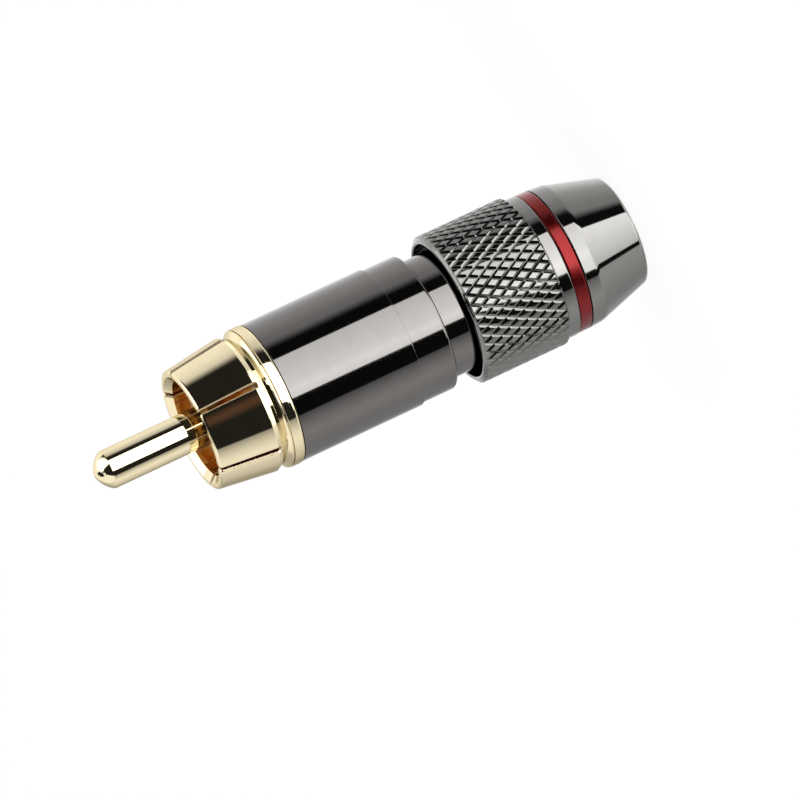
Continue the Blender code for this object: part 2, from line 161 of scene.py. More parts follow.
platingLooks = {
    "goldPlate": {"colour": (1.0, 0.88, 0.60), "tint": (0.98, 0.84, 0.53),
                  "roughness": 0.06, "lines": 1.0e-7, "grazing": (0.60, 0.56, 0.50)},
    # the sawn walls of the slits: duller, and darker and redder with painted shade
    "goldSawnShaded": {"colour": (0.42, 0.19, 0.085), "tint": (0.34, 0.14, 0.06),
                "roughness": 0.25, "lines": 6.0e-7},
    "goldWorn": {"colour": (1.0, 0.86, 0.58), "tint": (0.96, 0.80, 0.50),
                 "roughness": 0.42, "lines": 3.0e-7},
    # the barrel's and the gland body's plating is a darker copy of the tail's: painted shade
    "gunmetalPlateShaded": {"colour": (0.198, 0.189, 0.182), "tint": (0.184, 0.172, 0.164),
                      "roughness": 0.05, "lines": 1.0e-7},
    "gunmetalTail": {"colour": (0.255, 0.250, 0.240), "tint": (0.240, 0.232, 0.220),
                     "roughness": 0.05, "lines": 1.0e-7},
}

# noise scales are per metre, and heights in metres
platingGrain = {
    "cloud": 900.0, "tintBand": (0.42, 0.75), "tintShare": 0.5,
    "haze": 2400.0, "hazeLow": 0.8, "hazeRise": 0.4,
    "speck": 9000.0, "speckBand": (0.70, 0.78), "speckRoughness": 0.05,
    "lines": 14000.0, "linesStretch": 0.02, "ripple": 700.0, "rippleHeight": 1.5e-7,
}

cupLook = {
    # the darker colour and its two heights give painted shade further into the cup
    "colour": (1.0, 0.72, 0.36), "paintedShade": (0.92, 0.52, 0.16), "roughness": 0.05,
    "innerRadius": 2.6, "innerBlur": 0.1, "outerRadius": 4.46, "outerBlur": 0.03,
    "top": 38.22, "topBlur": 0.04, "paintedShadeTop": 36.7, "paintedShadeLow": 35.9,
}


def cupWall(board, place):
    # the bored wall of the cup is brassier and duller than the outside, and everything within the cup's
    # radius takes a painted shade, darker and redder further in
    look = cupLook
    radius = axisRadius(board, place)
    height = board.add("ShaderNodeSeparateXYZ", None, {0: place}, out=2) * (1 / mm)
    beyondPin = board.edge(radius, look["innerRadius"], look["innerBlur"])
    within = board.edge(radius, look["outerRadius"], -look["outerBlur"])
    wall = beyondPin * within * board.edge(height, look["top"], -look["topBlur"])
    return wall, within * board.ease(height, look["paintedShadeTop"], look["paintedShadeLow"])


def plating(name, look):
    # mirror plating with faint turning lines, slow tint changes and a few dull specks
    finish, board, place = newFinish(name)
    grain = platingGrain
    cloud = board.noise(place, grain["cloud"], detail=3.0)
    speck = board.ease(board.noise(place, grain["speck"], detail=1.0), *grain["speckBand"])
    haze = board.noise(place, grain["haze"], detail=4.0, roughness=0.6)
    tinted = board.ease(cloud, *grain["tintBand"], 0.0, grain["tintShare"])
    colour = board.blend(tinted, look["colour"], look["tint"])
    roughness = look["roughness"] * (grain["hazeLow"] + grain["hazeRise"] * haze)
    roughness = roughness + grain["speckRoughness"] * speck
    if name == "goldPlate":
        inside, paintedShade = cupWall(board, place)
        colour = board.blend(inside, colour, cupLook["colour"])
        # painted shade: darker and redder further into the cup
        colour = board.blend(paintedShade, colour, cupLook["paintedShade"])
        roughness = roughness + cupLook["roughness"] * inside
    aroundAxis = place * (grain["linesStretch"], grain["linesStretch"], 1.0)
    lines = board.noise(aroundAxis, grain["lines"])
    ripple = board.noise(place, grain["ripple"], detail=1.0)
    bump = board.bump(lines * look["lines"] + ripple * grain["rippleHeight"])
    closeFinish(board, {"Base Color": colour, "Metallic": 1.0, "Roughness": roughness, "Normal": bump,
                        "Specular Tint": look.get("grazing", (1.0, 1.0, 1.0))})
    return finish


knurlLook = {
    "colour": (0.245, 0.24, 0.23), "groove": (0.18, 0.175, 0.168),
    "grooveRadius": 6.245, "landRadius": 6.30, "roughness": 0.16, "polish": 0.09,
    "grain": 6000.0, "grainRoughness": 0.05, "grainHeight": 4.0e-6,
}


def knurlPlating():
    # the same plating over cut metal: duller at the bottom of the grooves, and darker there with painted
    # shade
    finish, board, place = newFinish("gunmetalKnurl")
    look = knurlLook
    land = board.ease(axisRadius(board, place), look["grooveRadius"], look["landRadius"])
    grain = board.noise(place, look["grain"], detail=3.0)
    # painted shade: the grooves' colour is darker than the lands'
    colour = board.blend(land, look["groove"], look["colour"])
    roughness = look["roughness"] - look["polish"] * land + look["grainRoughness"] * grain
    bump = board.bump(grain * look["grainHeight"])
    closeFinish(board, {"Base Color": colour, "Metallic": 1.0, "Roughness": roughness, "Normal": bump})
    return finish


ringLook = {
    "colour": (0.25, 0.009, 0.010), "dark": (0.20, 0.006, 0.007), "cloud": 1300.0, "metallic": 0.85,
    "roughness": 0.19, "haze": 5200.0, "hazeRoughness": 0.10, "coat": 0.25, "coatRoughness": 0.12,
    "grain": 3500.0, "grainHeight": 6.0e-7,
}


def ringGloss():
    # glossy deep red with a sheen of metal under it
    finish, board, place = newFinish("redGloss")
    look = ringLook
    cloud = board.noise(place, look["cloud"], detail=3.0)
    colour = board.blend(cloud, look["dark"], look["colour"])
    roughness = look["roughness"] + look["hazeRoughness"] * board.noise(place, look["haze"])
    bump = board.bump(board.noise(place, look["grain"]) * look["grainHeight"])
    closeFinish(board, {"Base Color": colour, "Metallic": look["metallic"], "Roughness": roughness,
                        "Normal": bump, "Coat Weight": look["coat"],
                        "Coat Roughness": look["coatRoughness"]})
    return finish


plasticLooks = {
    "insulatorPlastic": {"colour": (0.83, 0.81, 0.76), "dark": (0.74, 0.72, 0.66), "roughness": 0.38},
    "linerPlastic": {"colour": (0.045, 0.045, 0.047), "dark": (0.03, 0.03, 0.03), "roughness": 0.5},
    "colletPlastic": {"colour": (0.73, 0.70, 0.61), "dark": (0.62, 0.58, 0.48), "roughness": 0.42},
}
plasticGrain = {"cloud": 700.0, "grain": 9000.0, "roughness": 0.16, "height": 3.0e-6}


def plastic(name, look):
    # moulded plastic: cloudy colour, fine pitted grain
    finish, board, place = newFinish(name)
    cloud = board.noise(place, plasticGrain["cloud"], detail=4.0)
    grain = board.noise(place, plasticGrain["grain"], detail=3.0)
    colour = board.blend(cloud, look["dark"], look["colour"])
    roughness = look["roughness"] + plasticGrain["roughness"] * grain
    bump = board.bump(grain * plasticGrain["height"])
    closeFinish(board, {"Base Color": colour, "Roughness": roughness, "Normal": bump})
    return finish


finishes = {name: plating(name, look) for name, look in platingLooks.items()}
finishes.update({name: plastic(name, look) for name, look in plasticLooks.items()})
finishes["gunmetalKnurl"] = knurlPlating()
finishes["redGloss"] = ringGloss()
report("finishes")


# mesh helpers, all in mm

sharpAngle = 40.0    # degrees between faces that meet in a crisp edge
hair = 1e-6          # heights this close count as the same
past = 1.0           # cutters reach this far past the end of what they cut


def rounded(corners, closed=True, step=9.0, most=0.48):
    # corners are (radius, height) or (radius, height, fillet); a fillet becomes an arc with a point
    # every few degrees, and takes at most this share of the run on either side
    path = []
    count = len(corners)
    for index, corner in enumerate(corners):
        here = Vector(corner[:2])
        fillet = corner[2] if len(corner) > 2 else 0.0
        atEnd = not closed and index in (0, count - 1)
        if fillet == 0.0 or atEnd:
            path.append(tuple(here))
            continue
        before = Vector(corners[index - 1][:2]) - here
        after = Vector(corners[(index + 1) % count][:2]) - here
        opening = before.angle(after)
        reach = min(fillet / math.tan(opening / 2), most * before.length, most * after.length)
        radius = reach * math.tan(opening / 2)
        back, onwards = before.normalized(), after.normalized()
        middle = here + (back + onwards).normalized() * (radius / math.sin(opening / 2))
        first = here + back * reach - middle
        last = here + onwards * reach - middle
        turn = first.angle_signed(last)
        steps = max(2, math.ceil(abs(math.degrees(turn)) / step))
        for number in range(steps + 1):
            spoke = first.copy()
            spoke.rotate(Matrix.Rotation(-turn * number / steps, 2))
            path.append(tuple(middle + spoke))
    return path


def between(here, after, share):
    return here[0] + (after[0] - here[0]) * share, here[1] + (after[1] - here[1]) * share


def supported(path, closed=True, inset=0.03, shortest=0.16):
    # extra points near the ends of long runs keep a mirror face truly straight
    result = []
    count = len(path)
    for index, here in enumerate(path):
        result.append(here)
        if index == count - 1 and not closed:
            continue
        after = path[(index + 1) % count]
        length = math.dist(here, after)
        if length > shortest:
            for share in (inset / length, 1 - inset / length):
                result.append(between(here, after, share))
    return result


def openOutline(corners):
    # an outline that doesn't come back to its start
    return supported(rounded(corners, closed=False), closed=False)


def meshObject(name, points, faces, finish, sharp=sharpAngle):
    mesh = bmesh.new()
    corners = [mesh.verts.new((x * mm, y * mm, z * mm)) for x, y, z in points]
    for face in faces:
        mesh.faces.new([corners[index] for index in face])
    bmesh.ops.remove_doubles(mesh, verts=mesh.verts, dist=1e-7)
    bmesh.ops.dissolve_degenerate(mesh, edges=mesh.edges, dist=1e-8)
    bmesh.ops.recalc_face_normals(mesh, faces=mesh.faces)
    data = bpy.data.meshes.new(name)
    mesh.to_mesh(data)
    mesh.free()
    data.shade_smooth()
    data.set_sharp_from_angle(angle=math.radians(sharp))
    data.materials.append(finishes[finish])
    thing = bpy.data.objects.new(name, data)
    bpy.context.scene.collection.objects.link(thing)
    return thing


def turned(name, pathAt, finish, closed=True, columns=240):
    # pathAt gives the outline as a list, or as a function of the angle where it holds a thread
    points, faces = [], []
    for column in range(columns + 1):
        angle = 2 * math.pi * column / columns
        path = pathAt(angle) if callable(pathAt) else pathAt
        points += [(radius * math.cos(angle), radius * math.sin(angle), height) for radius, height in path]
    rows = len(points) // (columns + 1)
    for column in range(columns):
        for row in range(rows if closed else rows - 1):
            here, following = column * rows + row, column * rows + (row + 1) % rows
            faces.append((here, following, following + rows, here + rows))
    return meshObject(name, points, faces, finish)


threadLook = {
    "pitch": 0.75, "fade": 0.22,
    # share of the pitch, and the height there as a share of the thread's depth
    "profile": ((0.0, 0.0), (0.14, 0.0), (0.42, 0.94), (0.46, 1.0), (0.68, 1.0), (0.72, 0.94)),
}


def thread(low, high, rootRadius, crestRadius, angle):
    # rows that follow a helix between two heights, and run out to the root at both ends
    pitch, fade = threadLook["pitch"], threadLook["fade"]
    turns = math.ceil((high - low) / pitch) + 1
    path = []
    for number in range(turns + 1):
        for phase, rise in threadLook["profile"]:
            height = low + (number + phase - angle / (2 * math.pi)) * pitch
            height = min(max(height, low), high)
            share = min(1.0, (height - low) / fade, (high - height) / fade)
            path.append((rootRadius + (crestRadius - rootRadius) * rise * share, height))
    return path


def carve(piece, cutters):
    # cuts the pieces away and keeps the result as plain mesh
    for cutter in cutters:
        step = piece.modifiers.new("cut", "BOOLEAN")
        step.operation = "DIFFERENCE"
        step.solver = "EXACT"
        step.object = cutter
    bpy.context.view_layer.update()
    done = bpy.data.meshes.new_from_object(piece.evaluated_get(bpy.context.evaluated_depsgraph_get()))
    piece.modifiers.clear()
    piece.data = done
    done.shade_smooth()
    done.set_sharp_from_angle(angle=math.radians(sharpAngle))
    for cutter in cutters:
        bpy.data.objects.remove(cutter, do_unlink=True)


def block(name, low, high, turn, finish):
    # box between two corners, turned about the plug's axis in radians
    corners = [(x, y, z) for x in (low[0], high[0]) for y in (low[1], high[1]) for z in (low[2], high[2])]
    faces = [(0, 1, 3, 2), (4, 6, 7, 5), (0, 4, 5, 1), (2, 3, 7, 6), (0, 2, 6, 4), (1, 5, 7, 3)]
    thing = meshObject(name, corners, faces, finish)
    thing.rotation_euler.z = turn
    return thing


def install(piece, node, body):
    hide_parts(node)
    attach(piece, body)


# pin

pinSize = {
    "radius": 1.6, "tip": 47.29, "noseLength": 1.15,
    "collarRadius": 2.4, "collarLow": 28.697, "collarHigh": 29.597,
    "stemRadius": 1.3, "stemLow": 22.347, "cupHoleRadius": 0.9, "cupHoleDepth": 3.2, "cupHolePoint": 0.45,
    "cupOpenLength": 2.4, "cupOpenFrom": 0.08,
    # radius, and how far below the tip
    "nose": ((0.0, 0.0), (0.13, 0.008), (0.26, 0.032), (0.40, 0.085), (0.55, 0.155), (0.72, 0.245),
             (0.90, 0.36), (1.07, 0.49), (1.22, 0.62), (1.36, 0.78), (1.47, 0.93), (1.54, 1.04)),
}


def makePin():
    size = pinSize
    tip = size["tip"]
    nose = [(radius, tip - drop) for radius, drop in size["nose"]]
    holeTop = size["stemLow"] + size["cupHoleDepth"]
    body = rounded([
        nose[-1],
        (size["radius"], tip - size["noseLength"], 0.02),
        (size["radius"], size["collarHigh"], 0.05),
        (size["collarRadius"], size["collarHigh"], 0.08),
        (size["collarRadius"], size["collarLow"], 0.08),
        (size["stemRadius"], size["collarLow"], 0.05),
        (size["stemRadius"], size["stemLow"], 0.06),
        (size["cupHoleRadius"], size["stemLow"], 0.06),
        (size["cupHoleRadius"], holeTop),
        (0.0, holeTop + size["cupHolePoint"]),
    ], closed=False)
    path = supported(nose[:-1] + body, closed=False)
    pin = turned("centerPin", path, "goldPlate", closed=False, columns=160)
    # the solder cup is open on one side
    reach = 2 * size["stemRadius"]
    low = (-reach, size["cupOpenFrom"], size["stemLow"] - past)
    high = (reach, reach, size["stemLow"] + size["cupOpenLength"])
    carve(pin, [block("cupOpening", low, high, 0.0, "goldPlate")])
    install(pin, "center_pin", "contacts")


makePin()
report("pin")


# ground shell with six petals

shellSize = {
    "bossLow": 27.697, "bossBore": 3.3, "bossEdge": 0.05,
    "threadCrest": 4.88, "threadRoot": 4.62, "threadInset": 0.08, "undercutLow": 31.25,
    "flangeLow": 31.632, "flangeHigh": 32.55, "flangeRadius": 5.95, "flangeRound": 0.20,
    "flangeCrown": 0.006, "flangeBow": 4.0, "seamRadius": 5.72, "seamRise": 0.005,
    "beadLow": 32.60, "beadTop": 32.72, "beadRadius": 5.88, "beadRise": 0.01,
    "grooveHeight": 33.09, "grooveRadius": 5.39,
    "petalLow": 33.84, "petalBase": 5.75,
    "rimHigh": 38.69, "rimRadius": 5.1, "rimRound": 0.25,
    "mouth": 4.1, "leadIn": 0.5, "lipLength": 1.2, "cup": 4.4, "lipSlope": 0.6, "cupFloor": 32.197,
    "slits": 6, "slitFront": 0.26, "slitRoot": 0.40, "slitLow": 33.54, "slitInner": 3.9,
    # each slit's edge is broken: share of the break's width, and how far the skin falls there
    "slitEdge": 0.12, "edgeSteps": ((0.0, 1.0), (0.84, 0.16), (0.93, 0.08), (1.02, 0.025), (1.12, 0.0)),
    "edgeFade": 1.4, "petalColumns": 26,
    # how squarely a face looks across the petal, where it counts as sawn or as worn
    "sawnFacing": 0.97, "wornFacing": 0.45,
}


def shellOutside():
    # outline from the flange over bead, groove and petal to the top of the rim
    size = shellSize
    return rounded([
        (size["threadRoot"], size["flangeLow"]),
        (size["flangeRadius"] - size["flangeCrown"], size["flangeLow"], size["flangeRound"]),
        (size["flangeRadius"], 0.5 * (size["flangeLow"] + size["flangeHigh"]), size["flangeBow"]),
        (size["flangeRadius"] - size["flangeCrown"], size["flangeHigh"], 0.06),
        (size["seamRadius"], size["flangeHigh"] + size["seamRise"], 0.01),
        (size["seamRadius"], size["beadLow"], 0.01),
        (size["beadRadius"], size["beadLow"] + size["beadRise"], 0.03),
        (size["beadRadius"], size["beadTop"], 0.04),
        (size["grooveRadius"], size["grooveHeight"], 0.03),
        (size["petalBase"], size["petalLow"], 0.12),
        (size["rimRadius"], size["rimHigh"], size["rimRound"]),
        (size["mouth"] + size["leadIn"], size["rimHigh"]),
    ], closed=False)


def shellInside(start):
    # outline from the top of the rim over lead-in, lip, cup and bore to the end of the boss
    size = shellSize
    lipLow = size["rimHigh"] - size["leadIn"] - size["lipLength"]
    return rounded([
        start,
        (size["mouth"], size["rimHigh"] - size["leadIn"], 0.06),
        (size["mouth"], lipLow, 0.20),
        (size["cup"], lipLow - size["lipSlope"], 0.20),
        (size["cup"], size["cupFloor"], 0.05),
        (size["bossBore"], size["cupFloor"], 0.05),
        (size["bossBore"], size["bossLow"], 0.05),
        (size["threadRoot"] - size["bossEdge"], size["bossLow"]),
    ], closed=False)[1:]


def withRows(path, heights):
    # adds a point to the outline wherever it passes one of the heights
    result = []
    for here, after in zip(path, path[1:]):
        result.append(here)
        low, high = min(here[1], after[1]) + hair, max(here[1], after[1]) - hair
        for z in sorted((z for z in heights if low < z < high), reverse=after[1] < here[1]):
            share = (z - here[1]) / (after[1] - here[1])
            result.append((here[0] + (after[0] - here[0]) * share, z))
    return result + [path[-1]]


def makeShell():
    # the skin turns about the axis in columns, which stand close beside each slit and leave it open
    size = shellSize
    outside = shellOutside()
    skin = supported(outside, closed=False) + shellInside(outside[-1])
    # rows follow the round ends of the slits
    rootRound = size["slitRoot"] / 2
    rootTurns = [math.radians(turn) for turn in range(0, 91, 15)]
    skin = withRows(skin, [size["slitLow"] + rootRound * (1 - math.cos(turn)) for turn in rootTurns])
    top = max(range(len(skin)), key=lambda i: (skin[i][1], -skin[i][0]))

    def normalAt(index):
        before = skin[max(index - 1, 0)]
        after = skin[min(index + 1, len(skin) - 1)]
        along = Vector((after[0] - before[0], after[1] - before[1])).normalized()
        return Vector((along.y, -along.x))

    normals = [normalAt(index) for index in range(len(skin))]

    def slitHalf(z):
        low = size["slitLow"]
        if z <= low:
            return 0.0
        share = min(1.0, (z - low) / (size["rimHigh"] - low))
        half = (size["slitRoot"] + (size["slitFront"] - size["slitRoot"]) * share) / 2
        rise = z - low
        if rise < rootRound:
            half = min(half, math.sqrt(rootRound ** 2 - (rootRound - rise) ** 2))
        return half

    def inWall(row):
        # only the petals and the groove above the slits' roots are cut
        radius, z = skin[row]
        return z > size["slitLow"] - hair and radius > size["slitInner"]

    def bossThread(angle):
        return thread(size["bossLow"] + size["threadInset"], size["undercutLow"], size["threadRoot"],
                      size["threadCrest"], angle)

    edge = size["slitEdge"]
    edgeReach = edge * size["edgeSteps"][-1][0]
    inside = size["petalColumns"]
    columns = [("left", step) for step in size["edgeSteps"]]
    columns += [("between", number / inside) for number in range(1, inside)]
    columns += [("right", step) for step in reversed(size["edgeSteps"])]

    points, faces = [], []
    rows = len(skin) + len(bossThread(0.0))
    for petal in range(size["slits"]):
        firstAngle = 2 * math.pi * petal / size["slits"]
        lastAngle = 2 * math.pi * (petal + 1) / size["slits"]
        for kind, amount in columns:
            for row, (radius, z) in enumerate(skin):
                half = slitHalf(z) if inWall(row) else 0.0
                opening = min(1.0, size["edgeFade"] * half / edge)
                if kind == "between":
                    start = firstAngle + math.asin((half + edgeReach) / radius)
                    end = lastAngle - math.asin((half + edgeReach) / radius)
                    angle = start + (end - start) * amount
                    fall = 0.0
                else:
                    offset = math.asin((half + amount[0] * edge) / radius)
                    angle = firstAngle + offset if kind == "left" else lastAngle - offset
                    fall = amount[1] * edge * opening
                r = radius - normals[row].x * fall
                h = z - normals[row].y * fall
                points.append((r * math.cos(angle), r * math.sin(angle), h))
            # the thread's rows stand at the angle of the skin's last row
            cosine, sine = math.cos(angle), math.sin(angle)
            points += [(radius * cosine, radius * sine, z) for radius, z in bossThread(angle)]
    perPetal = len(columns)
    total = perPetal * size["slits"]
    # the last column repeats the first at a full turn, so that the thread's rows meet
    points += points[:len(skin)]
    points += [(radius, 0.0, z) for radius, z in bossThread(2 * math.pi)]
    for column in range(total):
        here = column * rows
        after = (column + 1) * rows
        atSlit = (column + 1) % perPetal == 0
        for row in range(rows):
            following = (row + 1) % rows
            # the slit itself stays open
            if atSlit and row < len(skin) and following < len(skin) and inWall(row) and inWall(following):
                if max(skin[row][1], skin[following][1]) > size["slitLow"] + hair:
                    continue
            faces.append((here + row, here + following, after + following, after + row))

    # flat walls of the slits: triangles climb between the outer and the inner edge of each petal
    outer = [row for row in range(top + 1) if inWall(row)]
    inner = [row for row in range(len(skin) - 1, top - 1, -1) if inWall(row)]
    wall = []
    while len(outer) > 1 or len(inner) > 1:
        a, b = outer[0], inner[0]
        stepOuter = len(inner) == 1 or (len(outer) > 1 and skin[outer[1]][1] <= skin[inner[1]][1])
        stepped = outer if stepOuter else inner
        stepped.pop(0)
        if stepped[0] not in (a, b) and a != b:
            wall.append((a, b, stepped[0]))
    for column in range(total):
        if column % perPetal in (0, perPetal - 1):
            faces += [[column * rows + row for row in corners] for corners in wall]
    shell = meshObject("groundShell", points, faces, "goldPlate", sharp=38.0)
    # the sawn walls of the slits are duller, and darker and redder with painted shade of the narrow slits,
    # and the broken edges beside them are worn
    shell.data.materials.append(finishes["goldSawnShaded"])
    shell.data.materials.append(finishes["goldWorn"])
    for face in shell.data.polygons:
        spoke = Vector((face.center.x, face.center.y, 0.0)).normalized()
        across = abs(face.normal.cross(spoke).z)
        if face.center.z > size["slitLow"] * mm and across > size["wornFacing"]:
            face.material_index = 1 if across > size["sawnFacing"] else 2
    install(shell, "ground_shell", "contacts")


makeShell()
report("ground shell")


# barrel

barrelSize = {
    "low": 20.93, "high": 31.617, "radius": 5.9, "bore": 4.95, "edge": 0.025, "mouthChamfer": 0.2,
    "threadLow": 27.4, "threadHigh": 31.2, "threadDepth": 0.22, "threadGap": 0.1,
}


def makeBarrel():
    size = barrelSize

    def path(angle):
        outside = openOutline([
            (size["bore"], size["high"] - size["mouthChamfer"]),
            (size["bore"] + size["mouthChamfer"], size["high"], 0.03),
            (size["radius"], size["high"], size["edge"]),
            (size["radius"], size["low"], size["edge"]),
            (size["bore"], size["low"], 0.05),
            (size["bore"], size["threadLow"] - size["threadGap"]),
        ])
        return outside + thread(size["threadLow"], size["threadHigh"], size["bore"],
                                size["bore"] + size["threadDepth"], angle)

    install(turned("barrel", path, "gunmetalPlateShaded"), "barrel", "barrel")


makeBarrel()


# gland body: the band behind the barrel, its neck and its screw spigot

glandSize = {
    "bore": 3.9, "neckLow": 12.047, "neckRadius": 5.05,
    "bandLow": 17.847, "bandHigh": 20.915, "bandRadius": 5.75, "bandRound": 0.25, "edge": 0.025,
    "spigotRadius": 4.89, "spigotHigh": 23.897,
    "threadLow": 12.2, "threadHigh": 14.1, "threadDepth": 0.25, "threadGap": 0.05,
}


def makeGland():
    size = glandSize

    def path(angle):
        outside = openOutline([
            (size["neckRadius"], size["threadHigh"] + size["threadGap"]),
            (size["neckRadius"], size["bandLow"], 0.05),
            (size["bandRadius"], size["bandLow"], size["bandRound"]),
            (size["bandRadius"], size["bandHigh"], size["edge"]),
            (size["spigotRadius"], size["bandHigh"], 0.03),
            (size["spigotRadius"], size["spigotHigh"], 0.15),
            (size["bore"], size["spigotHigh"], 0.10),
            (size["bore"], size["neckLow"], 0.10),
            (size["neckRadius"] - size["threadDepth"], size["neckLow"]),
        ])
        return outside + thread(size["threadLow"], size["threadHigh"],
                                size["neckRadius"] - size["threadDepth"], size["neckRadius"], angle)

    install(turned("glandBody", path, "gunmetalPlateShaded"), "gland_body", "barrel")


makeGland()
report("barrel and gland body")


# clamp nut with its diamond knurl

nutSize = {
    "low": 6.997, "collarRadius": 6.05, "edge": 0.07, "bore": 5.11,
    "knurlLow": 8.15, "halfPitch": 0.81, "halfRows": 9, "around": 46,
    "crest": 6.345, "root": 6.245, "runOut": 0.2, "plainBelow": 0.1, "plainWithin": 0.03,
    # radius, and how far below the front
    "front": 15.74, "lip": ((6.21, 0.24), (6.15, 0.16), (6.07, 0.085), (5.97, 0.025), (5.88, 0.0),
                            (5.81, 0.02)),
    "mouth": 5.75, "mouthDepth": 1.7, "mouthEdge": 0.08, "mouthStep": 0.001,
    # half a diamond's side as shares of the whole, and the height there as a share of the groove's depth
    "profile": ((0.0, 0.0), (0.02, 0.06), (0.175, 0.86), (0.205, 0.97), (0.24, 1.0), (0.5, 1.0)),
}


def makeNut():
    size = nutSize
    around, halfRows = size["around"], size["halfRows"]
    half = size["profile"]
    steps, rises = zip(*half, *((1 - share, rise) for share, rise in reversed(half[:-1])))
    last = len(steps) - 1
    points, index = [], {}

    def vertex(cellA, i, cellB, j):
        # a and b count along the two families of grooves; whole numbers are groove bottoms
        a, b = cellA + steps[i], cellB + steps[j]
        height = size["knurlLow"] + (a - b) * size["halfPitch"]
        rise = min(rises[i], rises[j])
        radius = size["root"] + (size["crest"] - size["root"]) * rise
        turn = (a + b) / 2 / around * 2 * math.pi
        key = (round(height, 5), round(math.cos(turn), 6), round(math.sin(turn), 6))
        if key not in index:
            index[key] = len(points)
            points.append((radius * math.cos(turn), radius * math.sin(turn), height))
        return index[key]

    faces = []
    low = size["knurlLow"]
    # points on the edges of the lowest and the highest row, by their place round the nut
    rings = {0: {}, halfRows: {}}

    # a diamond spans a..a+1 by b..b+1, so its middle is a - b half pitches above the knurl's start
    for middle in range(halfRows + 1):
        for k in range(around):
            cellA = k + math.ceil(middle / 2)
            cellB = cellA - middle
            for i in range(last):
                for j in range(last):
                    quad = [(i, j), (i + 1, j), (i + 1, j + 1), (i, j + 1)]
                    if middle == 0:
                        quad = [(p, q) for p, q in quad if p >= q]
                    if middle == halfRows:
                        quad = [(p, q) for p, q in quad if p <= q]
                    if len(quad) < 3:
                        continue
                    ids = [vertex(cellA, p, cellB, q) for p, q in quad]
                    if len(quad) == 3:
                        faces.append(ids)
                    elif i == j:
                        faces += [(ids[0], ids[1], ids[2]), (ids[0], ids[2], ids[3])]
                    else:
                        faces += [(ids[0], ids[1], ids[3]), (ids[1], ids[2], ids[3])]
            if middle in rings:
                for step in range(last + 1):
                    share = (cellA + cellB) / 2 + steps[step]
                    rings[middle][round(share % around, 5)] = vertex(cellA, step, cellB, step)

    def skirt(first, second):
        count = len(first)
        for k in range(count):
            after = (k + 1) % count
            faces.append((first[k], first[after], second[after], second[k]))

    def plainRows(ring, outline):
        # smooth rows from an edge of the knurl along an outline; gives the last of them
        shares = sorted(ring)
        row = [ring[share] for share in shares]
        for radius, height in outline:
            below = row
            row = range(len(points), len(points) + len(shares))
            for share in shares:
                turn = share / around * 2 * math.pi
                points.append((radius * math.cos(turn), radius * math.sin(turn), height))
            skirt(below, row)
        return row

    collar = openOutline([
        (size["collarRadius"], low - size["runOut"]),
        (size["collarRadius"], size["low"], size["edge"]),
        (size["bore"], size["low"], 0.06),
        (size["bore"], size["front"] - size["mouthDepth"]),
    ])
    front = openOutline([
        *((radius, size["front"] - drop) for radius, drop in size["lip"]),
        (size["mouth"], size["front"] - size["mouthEdge"]),
        (size["mouth"], size["front"] - size["mouthDepth"], 0.05),
        (size["bore"] + size["mouthStep"], size["front"] - size["mouthDepth"]),
    ])
    skirt(plainRows(rings[0], collar), plainRows(rings[halfRows], front))
    nut = meshObject("clampNut", points, faces, "gunmetalKnurl", sharp=32.0)
    nut.data.materials.append(finishes["gunmetalTail"])
    # all but the knurl takes the plain plating
    for face in nut.data.polygons:
        height = face.center.z / mm
        reach = math.hypot(face.center.x, face.center.y) / mm
        if height < low - size["plainBelow"] or reach < size["root"] - size["plainWithin"]:
            face.material_index = 1
    install(nut, "clamp_nut", "nut")


makeNut()
report("clamp nut")


# colour ring

ringSize = {"low": 5.85, "high": 6.95, "radius": 5.99, "round": 0.15, "bore": 5.11}


def makeRing():
    size = ringSize
    path = supported(rounded([
        (size["bore"], size["low"]),
        (size["radius"], size["low"], size["round"]),
        (size["radius"], size["high"], size["round"]),
        (size["bore"], size["high"]),
    ]))
    install(turned("colourRing", path, "redGloss"), "colour_ring", "nut")


makeRing()


# tail cap

tailSize = {
    "cableBore": 3.4, "mouthChamfer": 0.2, "endRadius": 4.55, "endRound": 0.4,
    "coneLength": 4.6, "bandRadius": 5.92, "bandRound": 1.2, "bandHigh": 5.8,
    "frontRadius": 6.0, "edge": 0.07,
    "spigotRadius": 5.05, "spigotHigh": 9.8, "squeezeLow": 7.1, "squeezeTop": 4.55,
    "threadDepth": 0.25, "threadInset": 1.3, "threadGap": 0.05,
}


def makeTail():
    size = tailSize

    def path(angle):
        outside = openOutline([
            (size["squeezeTop"], size["spigotHigh"]),
            (size["cableBore"], size["squeezeLow"]),
            (size["cableBore"], size["mouthChamfer"], 0.04),
            (size["cableBore"] + size["mouthChamfer"], 0.0, 0.04),
            (size["endRadius"], 0.0, size["endRound"]),
            (size["bandRadius"], size["coneLength"], size["bandRound"]),
            (size["frontRadius"], size["bandHigh"], size["edge"]),
            (size["spigotRadius"] - size["threadDepth"], size["bandHigh"]),
        ])
        low, high = size["bandHigh"] + size["threadInset"], size["spigotHigh"] - size["threadGap"]
        return outside + thread(low, high, size["spigotRadius"] - size["threadDepth"],
                                size["spigotRadius"], angle)

    install(turned("tailCap", path, "gunmetalTail"), "tail_cap", "nut")


makeTail()
report("ring and tail cap")


# collet that clamps the cord

colletSize = {
    "bore": 3.34, "taperLow": 7.7, "taperLowRadius": 3.556, "taperTopRadius": 4.45, "taperTop": 9.8,
    "headRadius": 4.65, "headStep": 0.05, "headHigh": 10.5, "sleeveRadius": 3.84, "sleeveHigh": 15.7,
    "slots": 4, "slotWidth": 0.8, "slotHigh": 12.0, "slotStart": 0.25,
}


